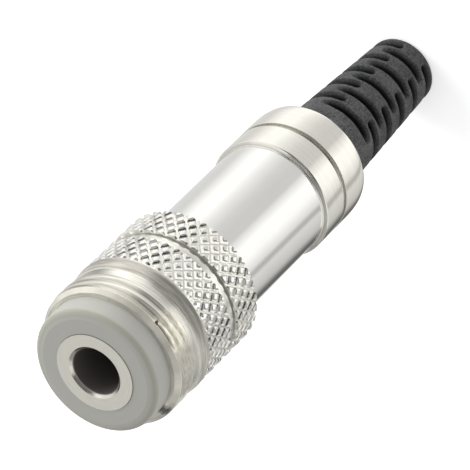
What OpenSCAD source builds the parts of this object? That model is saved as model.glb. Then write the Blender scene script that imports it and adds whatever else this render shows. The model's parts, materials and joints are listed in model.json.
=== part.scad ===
// In-line 3.5 mm stereo jack socket: threaded nose, knurled screw-on shell, slotted bend relief.
// The socket stands on the end of its bend relief, nose up, with +Z along the plug axis.
// Lengths run up from that end. Inner pieces are placed by their depth behind the front face.

/* [Plug passage] */
// Bore that the plug enters
plug_bore_d = 3.6; // [3.5:0.05:3.8]
// Lead-in chamfer at the mouth
lead_in = 0.25; // [0.1:0.05:0.4]
// Depth of the plug passage behind the front face
plug_depth = 14.4; // [14.2:0.1:14.8]
// Radial room of the passage behind the bush
passage_play = 0.2; // [0.15:0.01:0.25]

/* [Sleeve bush] */
// Diameter of the bush face
bush_face_d = 6; // [5.6:0.1:6.4]
// Thickness of the bush flange
bush_flange_t = 0.8; // [0.6:0.05:1]
// Diameter of the bush tube
bush_tube_d = 4.8; // [4.6:0.1:5]
// Length of the bush from its face
bush_len = 6.1; // [5.8:0.1:6.4]
// How far the bush stands proud of the insulator
bush_proud = 0.05; // [0.02:0.01:0.15]

/* [Front insulator] */
// Diameter of the insulating collar
collar_d = 9.7; // [9.4:0.1:10]
// Visible length of the collar, bush face included
collar_len = 1.9; // [1.6:0.1:2.4]
// Radial width of the rounded front edge
collar_edge_w = 0.7; // [0.4:0.05:0.9]
// Depth of the rounded front edge
collar_edge_h = 0.45; // [0.3:0.05:0.7]
// Length of the part that seats in the nose
collar_spigot_len = 1.4; // [1:0.1:1.6]

/* [Nose] */
// Major diameter of the nose thread
nose_thread_d = 11; // [10.8:0.1:11.2]
// Length of the nose thread
nose_thread_len = 2.05; // [1.8:0.05:2.8]
// Pitch of the thread's ridges, which are plain rings here
nose_pitch = 0.75; // [0.6:0.05:0.8]
// Depth of the grooves between the ridges
nose_thread_depth = 0.18; // [0.12:0.02:0.26]
// Width of a ridge's flat crest
nose_crest_w = 0.18; // [0.1:0.01:0.22]
// Chamfer at the front of the thread
nose_chamfer = 0.35; // [0.2:0.05:0.5]
// Depth of the relief behind the thread
relief_depth = 0.2; // [0.12:0.02:0.4]
// Width of the relief
relief_w = 0.82; // [0.6:0.02:1]
// Wall round the insulator's seat
nose_wall = 1.45; // [1.3:0.05:1.6]
// Thickness of the inner web that the carrier seats on
web_t = 1.1; // [0.9:0.1:1.3]

/* [Knurls] */
// Diamonds in one turn of the knurl
knurl_count = 36; // [24:4:48]
// Depth of the knurl's grooves
knurl_depth = 0.2; // [0.14:0.02:0.3]
// Share of a diamond's width that is left flat on top
knurl_flat = 0.47; // [0.3:0.01:0.6]
// Length of half a diamond along the axis
knurl_half_pitch = 0.62; // [0.5:0.02:0.8]
// Length of the knurl on the nose
nose_knurl_len = 2.95; // [2.6:0.05:3.6]
// Length of the knurl on the shell
shell_knurl_len = 2.5; // [2.4:0.1:3]
// Plain strip at the knurl's end, in front of the shell and under the nose rim
knurl_edge = 0.12; // [0.08:0.02:0.2]
// Length of the smooth land in front of the nose knurl
nose_land_len = 1; // [0.7:0.05:1.2]
// How far that land draws in toward the thread
nose_land_taper = 0.06; // [0.03:0.01:0.12]
// Height of that land over the flat tops of the knurl
nose_land_h = 0.015; // [0.01:0.005:0.04]
// Length of the smooth rim behind the nose knurl
nose_rim_len = 0.74; // [0.5:0.02:0.9]
// Chamfer on the rear edge of that rim
nose_rim_edge = 0.12; // [0.05:0.01:0.2]
// Open gap between the nose and the shell
parting_gap = 0.14; // [0.1:0.02:0.3]

/* [Screw joint] */
// Length of the thread that the shell screws on to
screw_len = 2; // [1.8:0.05:2.1]
// Wall of the nose under that thread
screw_wall = 0.7; // [0.6:0.05:0.8]
// Wall of the shell round that thread
screw_cover = 0.8; // [0.75:0.01:0.9]
// Radial play of the screw joint
screw_play = 0.05; // [0.03:0.01:0.08]
// Width of the shoulder that stops the shell
stop_w = 0.28; // [0.2:0.02:0.35]
// Room between the end of that thread and the floor of the shell
screw_end_room = 0.08; // [0.05:0.01:0.15]
// Axial gap left at the closed stop
seat_gap = 0.02; // [0.01:0.01:0.04]

/* [Rear shell] */
// Diameter of the smooth barrel
barrel_d = 8.85; // [8.7:0.05:9.1]
// Length of the smooth barrel
barrel_len = 11.2; // [10.6:0.1:13]
// Wall of the barrel
shell_wall = 0.475; // [0.4:0.025:0.525]
// Height of the bands over the barrel
band_h = 0.31; // [0.2:0.01:0.4]
// Slope length at the front of the first band
band_lead = 0.12; // [0.05:0.01:0.2]
// Length of the first band
front_band_len = 2.4; // [1.8:0.1:3]
// Width of the groove between the bands
groove_w = 0.4; // [0.25:0.05:0.6]
// Depth of that groove
groove_depth = 0.25; // [0.15:0.01:0.35]
// Straight length of the second band
rear_band_len = 1.4; // [1:0.1:2]
// Length of the rounded tail
tail_len = 1.55; // [1.2:0.05:2]
// How far the tail draws in
tail_drop = 0.3; // [0.2:0.02:0.4]
// Thickness of the shell's end wall
shell_end_t = 1.25; // [1:0.05:1.5]

/* [Bend relief] */
// Exposed length of the bend relief
boot_len = 13.85; // [13.4:0.05:16]
// Diameter where it leaves the shell
boot_root_d = 6.8; // [6.6:0.05:6.9]
// Diameter at its free end
boot_end_d = 5.3; // [5:0.05:5.6]
// Rounding of the free end
boot_edge_r = 0.25; // [0.1:0.05:0.35]
// Hole for the cable
cable_hole_d = 3.2; // [2.8:0.1:3.4]
// Thickness of the flange held inside the shell
boot_flange_t = 1.3; // [1:0.05:1.6]
// Radial play of the flange inside the shell
boot_flange_play = 0.1; // [0.05:0.01:0.15]
// Radial play of the neck in the shell's end wall
boot_play = 0.05; // [0.03:0.01:0.08]

/* [Bend relief slots] */
// Slot levels on each side
slot_levels = 5; // [3:1:5]
// Distance from a level to the next on the same side
slot_pitch = 2.2; // [2:0.05:2.3]
// Width of a slot
slot_w = 0.75; // [0.5:0.05:0.85]
// Centre of the last level above the free end
slot_end_gap = 0.85; // [0.75:0.05:1]
// Rubber left under a slot, over the cable hole
slot_web = 0.3; // [0.2:0.05:0.5]
// Arc of the front and back slots
front_slot_arc = 90; // [70:5:110]
// Arc of the side slots
side_slot_arc = 134; // [110:2:140]

/* [Contacts] */
// Depth of the tip contact behind the front face
tip_depth = 11.6; // [11.4:0.1:11.8]
// Depth of the ring contact
ring_depth = 8.6; // [8.4:0.1:8.8]
// Depth of the rivets that hold the contacts
rivet_depth = 15.3; // [15.2:0.1:15.5]
// Thickness of the spring blades
blade_t = 0.2; // [0.16:0.02:0.24]
// Width of the spring blades
blade_w = 1.6; // [1.4:0.1:1.7]
// How far a blade reaches into the plug's path
blade_reach = 0.35; // [0.25:0.05:0.4]
// Sloping length from a blade's knee to its contact point
blade_slope = 2.2; // [2:0.1:2.3]
// Length of a blade past its contact point
blade_toe = 0.7; // [0.5:0.05:0.8]
// How far the toe bends back from the plug
toe_rise = 0.45; // [0.3:0.05:0.5]
// Half length of a blade's riveted pad
pad_half = 0.7; // [0.6:0.05:0.8]
// Room round a blade for its spring travel
blade_play = 0.1; // [0.08:0.01:0.12]
// Thickness of the solder tags
tag_t = 0.28; // [0.2:0.02:0.3]
// Width of the solder tags
tag_w = 2.3; // [2.1:0.05:2.4]
// Depth of the solder tags' free ends
tag_end_depth = 19; // [18.6:0.1:19.4]
// Hole in a solder tag
tag_eye_d = 0.9; // [0.7:0.05:1.1]
// Distance of a rivet's inner end from the plug axis
rivet_in = 1; // [0.8:0.05:1.2]
// Rivet shank diameter
rivet_d = 0.7; // [0.6:0.05:0.8]
// Rivet head diameter
rivet_head_d = 1.2; // [1:0.05:1.3]
// Rivet head height
rivet_head_h = 0.22; // [0.15:0.01:0.25]

/* [Carrier and liner] */
// Wall between the passage and the blade channels
channel_wall = 0.2; // [0.15:0.01:0.25]
// Wall between the passage and the strap
strap_wall = 0.5; // [0.45:0.01:0.55]
// Depth of the carrier's rear end
carrier_end_depth = 16.2; // [16.1:0.1:16.5]
// Thickness of the lock ring
lock_ring_t = 0.6; // [0.5:0.05:0.62]
// Radial width of the lock ring
lock_ring_w = 0.78; // [0.74:0.02:0.84]
// Width of the lock ring's two key slots
key_slot_w = 0.8; // [0.6:0.05:1]
// Depth of those key slots
key_slot_depth = 0.25; // [0.15:0.05:0.35]
// Depth that the liner plugs into the nose, behind the lock ring
liner_seat = 0.3; // [0.2:0.05:0.4]
// Wall of the insulating liner
liner_wall = 0.3; // [0.2:0.02:0.32]
// Depth of the liner's rear end
liner_end_depth = 25.2; // [24:0.1:25.4]
// Gap between the liner and the shell
liner_play = 0.25; // [0.2:0.01:0.3]

/* [Sleeve strap] */
// Thickness of the strap
strap_t = 0.25; // [0.2:0.01:0.28]
// Width of the strap's tail
strap_w = 1.6; // [1.4:0.1:1.7]
// Radial room round the strap's ring
strap_ring_room = 0.08; // [0.05:0.01:0.1]
// Radial width of the strap's ring
strap_ring_w = 0.7; // [0.5:0.05:0.72]
// Front of the cable clamp, behind the front face
clamp_depth = 18.6; // [18:0.1:19]
// Length of the cable clamp
clamp_len = 2.8; // [2:0.1:3]
// Inner width of the cable clamp
clamp_w = 3.4; // [3:0.1:3.5]
// Reach of the clamp's wings past the axis
clamp_wing = 1.2; // [0.8:0.1:1.6]

/* [Fits] */
// Radial clearance of seated pieces
fit = 0.02; // [0.01:0.01:0.03]
// Side room of blades, tags and strap in their channels
side_room = 0.15; // [0.1:0.01:0.2]

/* [Hidden] */
$fn = 96;
through = 0.5;
knurl_sink = 0.06;
knurl_root_in = 0.35;
knurl_tuck = 0.04;
curve_steps = 6;
thread_flank = 30;

// Levels of the outside, upward from the free end of the bend relief
z_exit = boot_len;
z_tail = z_exit + tail_len;
z_groove = z_tail + rear_band_len;
z_front_band = z_groove + groove_w;
z_step = z_front_band + front_band_len;
z_shell_knurl = z_step + barrel_len;
z_shell_front = z_shell_knurl + shell_knurl_len + knurl_edge;
z_nose_rear = z_shell_front + parting_gap;
z_nose_knurl = z_nose_rear + nose_rim_len;
z_land = z_nose_knurl + nose_knurl_len;
z_flange = z_land + nose_land_len;
z_thread = z_flange + relief_w;
z_nose = z_thread + nose_thread_len;
z_face = z_nose + collar_len;

// Levels inside the nose, from its stop shoulder to the web
z_stop = z_shell_front + seat_gap;
z_screw_end = z_stop - screw_len;
z_lock_rear = z_screw_end + liner_seat;
z_lock_front = z_lock_rear + lock_ring_t;
z_seat = z_nose - collar_spigot_len;
z_web = z_seat - web_t;

// Radii, from the barrel inward and then out to the knurls
barrel_r = barrel_d / 2;
shell_bore_r = barrel_r - shell_wall;
liner_r = shell_bore_r - liner_play;
liner_bore_r = liner_r - liner_wall;
cavity_r = liner_r + fit;
screw_r = cavity_r + screw_wall;
screw_bore_r = screw_r + screw_play;
knurl_core_r = screw_bore_r + screw_cover;
knurl_root_r = knurl_core_r + knurl_sink;
knurl_top_r = knurl_root_r + knurl_depth;
knurl_peak_r = knurl_root_r + knurl_depth / (1 - knurl_flat);
knurl_corner_r = knurl_top_r / cos(90 / knurl_count);
land_r = knurl_corner_r + nose_land_h;
rim_r = (knurl_core_r + knurl_root_r) / 2;
stop_r = screw_bore_r + stop_w;
band_r = barrel_r + band_h;
tail_r = band_r - tail_drop;
nose_r = nose_thread_d / 2;
relief_r = nose_r - relief_depth;
seat_r = nose_r - nose_wall;
collar_r = collar_d / 2;

// Radii round the plug
bore_r = plug_bore_d / 2;
passage_r = bore_r + passage_play;
bush_r = bush_tube_d / 2;
bush_face_r = bush_face_d / 2;
strap_ring_r = bush_r + fit + strap_ring_w;
web_r = strap_ring_r + strap_ring_room;
carrier_head_r = cavity_r - fit;
lock_bore_r = cavity_r - fit - lock_ring_w;
carrier_tail_r = lock_bore_r - fit;

// Distances of the contact pieces from the plug axis
channel_r = passage_r + channel_wall;
blade_mid = channel_r + blade_play + blade_t / 2;
ledge_r = blade_mid + blade_t / 2 + blade_play;
head_r = ledge_r + tag_t;
strap_r = passage_r + strap_wall;
contact_mid = bore_r - blade_reach + blade_t / 2;

// Bend relief
boot_root_r = boot_root_d / 2;
boot_end_r = boot_end_d / 2;
cable_hole_r = cable_hole_d / 2;
z_boot_flange = z_exit + shell_end_t + seat_gap;
slot_floor_r = cable_hole_r + slot_web;

nickel = [0.82, 0.81, 0.77];
grey_plastic = [0.66, 0.66, 0.65];
dark_plastic = [0.13, 0.12, 0.11];
spring_bronze = [0.72, 0.6, 0.38];
tinned = [0.75, 0.75, 0.74];
clear_plastic = [0.85, 0.86, 0.84];
rubber_black = [0.2, 0.2, 0.2];

// Height of a level that lies a given depth behind the front face
function at(depth) = z_face - depth;

// Points of a curve that leaves along the axis and draws in by drop over a height, going up if up is 1
function drawn_in(r, z, drop, height, up) = [
    for (i = [0 : curve_steps])
        let (t = i / curve_steps)
        [r - drop * (1 - sqrt(1 - t * t)), z + up * height * t]
];

function reversed(points) = [for (i = [len(points) - 1 : -1 : 0]) points[i]];

// Mitred offset of a polyline's point to its left by half the strip's thickness
function unit(v) = v / norm(v);
function left_of(v) = [-v[1], v[0]];
function strip_side(path, i) =
    let (
        last = len(path) - 1,
        before = unit(path[max(i, 1)] - path[max(i, 1) - 1]),
        after = unit(path[min(i, last - 1) + 1] - path[min(i, last - 1)]),
        mid = unit(left_of(before) + left_of(after))
    )
    mid / (mid * left_of(after));

// Outline of a bent strip of constant thickness along a polyline
function strip(path, t) = concat(
    [for (i = [0 : len(path) - 1]) path[i] + strip_side(path, i) * t / 2],
    [for (i = [len(path) - 1 : -1 : 0]) path[i] - strip_side(path, i) * t / 2]
);

// A turned piece from its half section
module turned(section) {
    rotate_extrude() polygon(section);
}

// A tube between two levels
module tube(outer_r, inner_r, z_low, z_high) {
    difference() {
        translate([0, 0, z_low]) cylinder(r = outer_r, h = z_high - z_low);
        translate([0, 0, z_low - through]) cylinder(r = inner_r, h = z_high - z_low + 2 * through);
    }
}

// A block centred on the plug axis in Y, from x_in to x_out, between two levels
module side_block(x_in, x_out, width, z_low, z_high) {
    translate([x_in, -width / 2, z_low]) cube([x_out - x_in, width, z_high - z_low]);
}

// Rows of pyramids whose peaks and valleys alternate like a chessboard
module pyramids(z_low, length) {
    sides = 2 * knurl_count;
    rows = max(2, round(length / knurl_half_pitch));
    wall_r = knurl_core_r - knurl_root_in;
    outer = [
        for (j = [0 : rows], k = [0 : sides - 1])
            let (r = (j + k) % 2 == 0 ? knurl_peak_r : knurl_root_r, a = 360 * k / sides)
            [r * cos(a), r * sin(a), z_low + length * j / rows]
    ];
    inner = [
        for (j = [0, 1], k = [0 : sides - 1])
            let (a = 360 * k / sides)
            [wall_r * cos(a), wall_r * sin(a), z_low + length * j]
    ];
    first_in = len(outer);
    last_row = rows * sides;
    // Each cell is split along its valley, so that four faces meet at every peak
    flanks = [
        for (j = [0 : rows - 1], k = [0 : sides - 1], half = [0, 1])
            let (
                n = (k + 1) % sides,
                a = j * sides + k,
                b = j * sides + n,
                c = (j + 1) * sides + n,
                d = (j + 1) * sides + k
            )
            (j + k) % 2 == 0
                ? (half == 0 ? [d, b, a] : [d, c, b])
                : (half == 0 ? [c, b, a] : [d, c, a])
    ];
    ends = [
        for (k = [0 : sides - 1], top = [0, 1], half = [0, 1])
            let (
                n = (k + 1) % sides,
                o = top == 1 ? last_row : 0,
                i = first_in + top * sides
            )
            half == 0
                ? (top == 1 ? [o + k, i + k, i + n] : [o + k, i + n, i + k])
                : (top == 1 ? [o + k, i + n, o + n] : [o + k, o + n, i + n])
    ];
    bore = [
        for (k = [0 : sides - 1])
            let (n = (k + 1) % sides)
            [first_in + k, first_in + n, first_in + sides + n, first_in + sides + k]
    ];
    polyhedron(concat(outer, inner), concat(flanks, ends, bore));
}

// Diamond knurl: pyramids whose peaks are cut off flat
module knurl(z_low, length) {
    sides = 2 * knurl_count;
    corners = [for (k = [0 : sides - 1]) let (a = 360 * (k + 0.5) / sides) knurl_corner_r * [cos(a), sin(a)]];
    intersection() {
        pyramids(z_low, length);
        translate([0, 0, z_low - through]) linear_extrude(length + 2 * through) polygon(corners);
    }
}

// Section of the nose thread from its rear end to its front edge
function thread_section() =
    let (
        groove_r = nose_r - nose_thread_depth,
        flank = nose_thread_depth * tan(thread_flank),
        z_top = z_nose - nose_chamfer,
        grooves = floor((nose_thread_len - nose_chamfer - nose_crest_w) / nose_pitch)
    )
    concat(
        [[nose_r, z_thread]],
        [
            for (i = [grooves : -1 : 1], p = [0 : 3])
                let (z = z_top - i * nose_pitch, z_next = z + nose_pitch - nose_crest_w)
                [[nose_r, z], [groove_r, z + flank], [groove_r, z_next - flank], [nose_r, z_next]][p]
        ],
        [[nose_r, z_top], [nose_r - nose_chamfer, z_nose]]
    );

module sleeve_bush() {
    color(nickel) turned([
        [bore_r, at(bush_len)],
        [bush_r, at(bush_len)],
        [bush_r, at(bush_flange_t)],
        [bush_face_r, at(bush_flange_t)],
        [bush_face_r, z_face],
        [bore_r + lead_in, z_face],
        [bore_r, z_face - lead_in]
    ]);
}

module front_insulator() {
    z_front = z_face - bush_proud;
    color(grey_plastic) turned(concat(
        [
            [bush_r + fit, z_web],
            [web_r - fit, z_web],
            [web_r - fit, z_seat],
            [seat_r - fit, z_seat],
            [seat_r - fit, z_nose],
            [collar_r, z_nose]
        ],
        drawn_in(collar_r, z_front - collar_edge_h, collar_edge_w, collar_edge_h, 1),
        [
            [bush_face_r + fit, z_front],
            [bush_face_r + fit, at(bush_flange_t)],
            [bush_r + fit, at(bush_flange_t)]
        ]
    ));
}

module nose_body() {
    color(nickel) union() {
        turned(concat(
            [
                [cavity_r, z_screw_end],
                [screw_r, z_screw_end],
                [screw_r, z_stop],
                [stop_r, z_stop],
                [stop_r, z_nose_rear],
                [rim_r - nose_rim_edge, z_nose_rear],
                [rim_r, z_nose_rear + nose_rim_edge],
                [rim_r, z_nose_knurl + knurl_edge],
                [knurl_core_r, z_nose_knurl + knurl_edge],
                [knurl_core_r, z_land - knurl_tuck],
                [land_r, z_land - knurl_tuck],
                [land_r - nose_land_taper, z_flange],
                [relief_r, z_flange],
                [relief_r, z_thread]
            ],
            thread_section(),
            [
                [seat_r, z_nose],
                [seat_r, z_seat],
                [web_r, z_seat],
                [web_r, z_web],
                [cavity_r, z_web]
            ]
        ));
        knurl(z_nose_knurl, nose_knurl_len);
    }
}

// A spring blade's channel in the carrier, on the +X side
module blade_channel(depth) {
    z_end = at(carrier_end_depth) - through;
    z_toe = at(depth) + blade_toe + blade_play;
    z_knee = at(depth) - blade_slope - blade_play;
    width = blade_w + 2 * side_room;
    side_block(channel_r, cavity_r, width, z_end, z_toe);
    side_block(0, cavity_r, width, z_knee, z_toe);
    side_block(ledge_r, cavity_r, 2 * cavity_r, z_end, at(rivet_depth) + pad_half + blade_play);
    translate([0, 0, at(rivet_depth)]) rotate([0, 90, 0]) cylinder(d = rivet_d + 2 * fit, h = cavity_r);
}

module contact_carrier() {
    z_end = at(carrier_end_depth);
    color(dark_plastic) difference() {
        union() {
            translate([0, 0, z_lock_front]) cylinder(r = carrier_head_r, h = z_web - z_lock_front);
            translate([0, 0, z_end]) cylinder(r = carrier_tail_r, h = z_web - z_end);
        }
        translate([0, 0, at(plug_depth)]) cylinder(r = passage_r, h = plug_depth);
        translate([0, 0, at(bush_len)]) cylinder(r = bush_r + fit, h = bush_len);
        translate([0, 0, z_web - strap_t]) cylinder(r = strap_ring_r + fit, h = strap_t + through);
        blade_channel(ring_depth);
        rotate([0, 0, 180]) blade_channel(tip_depth);
        rotate([0, 0, 90])
            side_block(strap_r, cavity_r, strap_w + 2 * side_room, z_end - through, z_web + through);
    }
}

module sleeve_strap() {
    z_clamp = at(clamp_depth);
    wing_x = clamp_w / 2 + strap_t;
    color(tinned) union() {
        tube(strap_ring_r, bush_r + fit, z_web - strap_t, z_web);
        rotate([0, 0, 90]) side_block(strap_r, strap_r + strap_t, strap_w, z_clamp, z_web);
        translate([0, 0, z_clamp - clamp_len]) linear_extrude(clamp_len) difference() {
            translate([-wing_x, -clamp_wing]) square([2 * wing_x, clamp_wing + strap_r + strap_t]);
            translate([-clamp_w / 2, -clamp_wing - through]) square([clamp_w, clamp_wing + strap_r + through]);
        }
    }
}

// A spring blade on the +X side: riveted pad, straight arm, knee, contact point and toe
module blade(depth) {
    path = [
        [blade_mid, at(rivet_depth) - pad_half],
        [blade_mid, at(depth) - blade_slope],
        [contact_mid, at(depth)],
        [contact_mid + toe_rise, at(depth) + blade_toe]
    ];
    color(spring_bronze) difference() {
        translate([0, blade_w / 2, 0]) rotate([90, 0, 0]) linear_extrude(blade_w) polygon(strip(path, blade_t));
        translate([0, 0, at(rivet_depth)]) rotate([0, 90, 0])
            cylinder(d = rivet_d + 2 * blade_play, h = cavity_r);
    }
}

module ring_contact() {
    blade(ring_depth);
}

module tip_contact() {
    rotate([0, 0, 180]) blade(tip_depth);
}

// A solder tag on the +X side, lying on the carrier's ledges over the blade
module tag() {
    z_front = at(rivet_depth) + pad_half;
    z_end = at(tag_end_depth);
    eye_z = z_end + tag_w / 2;
    color(tinned) translate([ledge_r, 0, 0]) rotate([90, 0, 90]) linear_extrude(tag_t) difference() {
        union() {
            translate([-tag_w / 2, eye_z]) square([tag_w, z_front - eye_z]);
            translate([0, eye_z]) circle(d = tag_w);
        }
        translate([0, eye_z]) circle(d = tag_eye_d);
        translate([0, at(rivet_depth)]) circle(d = rivet_d + 2 * fit);
    }
}

module ring_tag() {
    tag();
}

module tip_tag() {
    rotate([0, 0, 180]) tag();
}

// A rivet on the +X side, driven into the solid end of the carrier
module rivet() {
    color(nickel) translate([0, 0, at(rivet_depth)]) rotate([0, 90, 0]) {
        translate([0, 0, rivet_in]) cylinder(d = rivet_d, h = head_r - rivet_in);
        translate([0, 0, head_r]) cylinder(d = rivet_head_d, h = rivet_head_h);
    }
}

module ring_rivet() {
    rivet();
}

module tip_rivet() {
    rotate([0, 0, 180]) rivet();
}

module lock_ring() {
    color(nickel) difference() {
        tube(cavity_r - fit, lock_bore_r, z_lock_rear, z_lock_front);
        translate([0, 0, z_lock_rear]) cube([key_slot_w, 2 * cavity_r, 2 * key_slot_depth], center = true);
    }
}

module insulating_liner() {
    color(clear_plastic)
        tube(liner_r, liner_bore_r, at(liner_end_depth), z_lock_rear - fit);
}

module rear_shell() {
    floor_z = z_screw_end - screw_end_room;
    hole_r = boot_root_r + boot_play;
    color(nickel) union() {
        turned(concat(
            [[hole_r, z_exit]],
            reversed(drawn_in(band_r, z_tail, tail_drop, tail_len, -1)),
            [
                [band_r, z_groove],
                [band_r - groove_depth, z_groove],
                [band_r - groove_depth, z_front_band],
                [band_r, z_front_band],
                [band_r, z_step - band_lead],
                [barrel_r, z_step],
                [barrel_r, z_shell_knurl],
                [knurl_core_r, z_shell_knurl],
                [knurl_core_r, z_shell_front],
                [screw_bore_r, z_shell_front],
                [screw_bore_r, floor_z],
                [shell_bore_r, floor_z],
                [shell_bore_r, z_exit + shell_end_t],
                [hole_r, z_exit + shell_end_t]
            ]
        ));
        knurl(z_shell_knurl, shell_knurl_len);
    }
}

// One slot, cut over an arc centred on a direction
module slot(z, arc, direction) {
    rotate([0, 0, direction - arc / 2]) rotate_extrude(angle = arc)
        translate([slot_floor_r, z - slot_w / 2]) square([boot_root_r, slot_w]);
}

module bend_relief() {
    flange_r = shell_bore_r - boot_flange_play;
    color(rubber_black) difference() {
        turned(concat(
            [[cable_hole_r, 0]],
            reversed(drawn_in(boot_end_r, boot_edge_r, boot_edge_r, boot_edge_r, -1)),
            [
                [boot_root_r, z_exit],
                [boot_root_r, z_boot_flange],
                [flange_r, z_boot_flange],
                [flange_r, z_boot_flange + boot_flange_t],
                [cable_hole_r, z_boot_flange + boot_flange_t]
            ]
        ));
        for (level = [0 : slot_levels - 1], side = [0, 1]) {
            slot(slot_end_gap + level * slot_pitch, side_slot_arc, 180 * side);
            slot(slot_end_gap + (level + 0.5) * slot_pitch, front_slot_arc, 90 + 180 * side);
        }
    }
}

sleeve_bush();
front_insulator();
nose_body();
contact_carrier();
sleeve_strap();
tip_contact();
ring_contact();
tip_tag();
ring_tag();
tip_rivet();
ring_rivet();
lock_ring();
insulating_liner();
rear_shell();
bend_relief();
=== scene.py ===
# %% [markdown]
# # An in-line stereo jack socket
#
# The socket is a small turned and plated cable connector: a grey insulating collar with a metal bush
# in its mouth, a threaded and knurled nose, a knurled shell that screws on behind it, and a slotted
# rubber bend relief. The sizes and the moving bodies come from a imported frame. This lesson only gives
# that frame its looks: three visible pieces are skinned again with finer surfaces, and every other
# piece keeps its solid and gets a finish.

# %% Load the frame
import json
import math
from collections import namedtuple

import bpy
import numpy as np
from mathutils import Matrix, Vector

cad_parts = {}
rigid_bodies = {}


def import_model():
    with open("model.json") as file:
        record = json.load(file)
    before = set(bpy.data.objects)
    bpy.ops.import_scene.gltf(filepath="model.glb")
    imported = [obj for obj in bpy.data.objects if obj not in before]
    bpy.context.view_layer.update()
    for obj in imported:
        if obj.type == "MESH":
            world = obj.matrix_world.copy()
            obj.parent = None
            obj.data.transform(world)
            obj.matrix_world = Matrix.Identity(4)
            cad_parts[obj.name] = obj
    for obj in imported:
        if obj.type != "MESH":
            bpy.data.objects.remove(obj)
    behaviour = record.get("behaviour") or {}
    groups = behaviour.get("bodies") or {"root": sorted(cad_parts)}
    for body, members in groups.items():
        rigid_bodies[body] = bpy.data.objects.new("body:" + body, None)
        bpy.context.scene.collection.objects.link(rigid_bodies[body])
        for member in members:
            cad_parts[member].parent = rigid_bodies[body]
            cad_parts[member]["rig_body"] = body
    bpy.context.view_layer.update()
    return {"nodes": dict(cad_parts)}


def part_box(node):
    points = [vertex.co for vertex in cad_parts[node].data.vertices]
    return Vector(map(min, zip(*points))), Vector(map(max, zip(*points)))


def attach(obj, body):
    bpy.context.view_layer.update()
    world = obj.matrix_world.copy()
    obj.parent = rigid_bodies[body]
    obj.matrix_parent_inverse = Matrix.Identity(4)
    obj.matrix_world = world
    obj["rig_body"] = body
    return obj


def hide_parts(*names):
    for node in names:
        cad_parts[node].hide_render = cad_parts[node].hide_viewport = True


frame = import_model()
MM = 0.001
print("pieces:", sorted(frame["nodes"]))


# %% [markdown]
# ## Measuring the frame
#
# Levels and radii are read from the boxes of the solids, so that a skin always fits the piece that it
# stands for. The part stands on the end of its bend relief with the plug axis along +Z, so a level is
# a Z value and a radius is the X reach of a round piece.

# %% Read levels and radii from the solids
def foot(node):
    """Lowest level of a piece."""
    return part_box(node)[0].z


def top(node):
    """Highest level of a piece."""
    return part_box(node)[1].z


def reach(node):
    """Outer radius of a round piece."""
    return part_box(node)[1].x


face_level = top("sleeve_bush")
nose_front = top("nose_body")
shell_front = top("rear_shell")
shell_exit = foot("rear_shell")
knurl_tip = reach("rear_shell")
land_r = reach("nose_body")
print(f"face {face_level / MM:.2f} mm, nose {nose_front / MM:.2f} mm, shell {shell_front / MM:.2f} mm")


# %% [markdown]
# ## The camera
#
# A photograph taken from a little way off with a long lens shows circles as neat ellipses. Two facts
# place the camera: where the centre of the front face lies as the camera sees it, and which way the
# plug axis runs from there. A third, the turn about that axis, brings the slots of the bend relief
# round. Two triples of directions, one seen and one on the part, give the rotation between them. The
# other way would be to drag the camera by eye, but a rotation from directions can be checked.

# %% Place the camera from what it sees
IMAGE_PX = 470
FOCAL_PX = 4300
SENSOR_MM = 36.0
NEAREST_SEEN = 10 * MM
# Right, down and away from the camera
face_seen = Vector((-9.449, 9.273, 289.07)) * MM
axis_seen = Vector((0.5077, -0.5016, 0.7005)).normalized()
turn_seen = math.radians(2.5)


def square_to(direction, axis):
    """The part of a direction that is square to an axis."""
    return (direction - axis * direction.dot(axis)).normalized()


near_seen = square_to(-face_seen, axis_seen)
seen = Matrix((near_seen, axis_seen.cross(near_seen), axis_seen)).transposed()
rearward = Vector((0, 0, -1))
near_side = Vector((-math.sin(turn_seen), -math.cos(turn_seen), 0))
near_turn = math.atan2(near_side.y, near_side.x)
right_side = rearward.cross(near_side)
on_part = Matrix((near_side, right_side, rearward)).transposed()
to_part = on_part @ seen.transposed()
eye = Vector((0, 0, face_level)) - to_part @ face_seen

scene = bpy.context.scene
lens = bpy.data.cameras.new("camera")
lens.sensor_width = SENSOR_MM
lens.lens = FOCAL_PX / IMAGE_PX * SENSOR_MM
lens.clip_start = NEAREST_SEEN
camera = bpy.data.objects.new("camera", lens)
right, up, back = [to_part @ Vector(side) for side in ((1, 0, 0), (0, -1, 0), (0, 0, -1))]
camera_turn = Matrix((right, up, back)).transposed()
camera.matrix_world = Matrix.Translation(eye) @ camera_turn.to_4x4()
scene.collection.objects.link(camera)
scene.camera = camera
print("camera at", [round(x / MM, 1) for x in eye], "mm")


# %% [markdown]
# ## Sums with sockets
#
# A finish is a small program of nodes. Written node by node it is long and hard to read, so one class
# wraps a socket, and Python's own operators add the Math nodes. `1 - mask` then reads as what it does.
# Any other node comes from one method: its type, its settings and what feeds its sockets.

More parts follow.
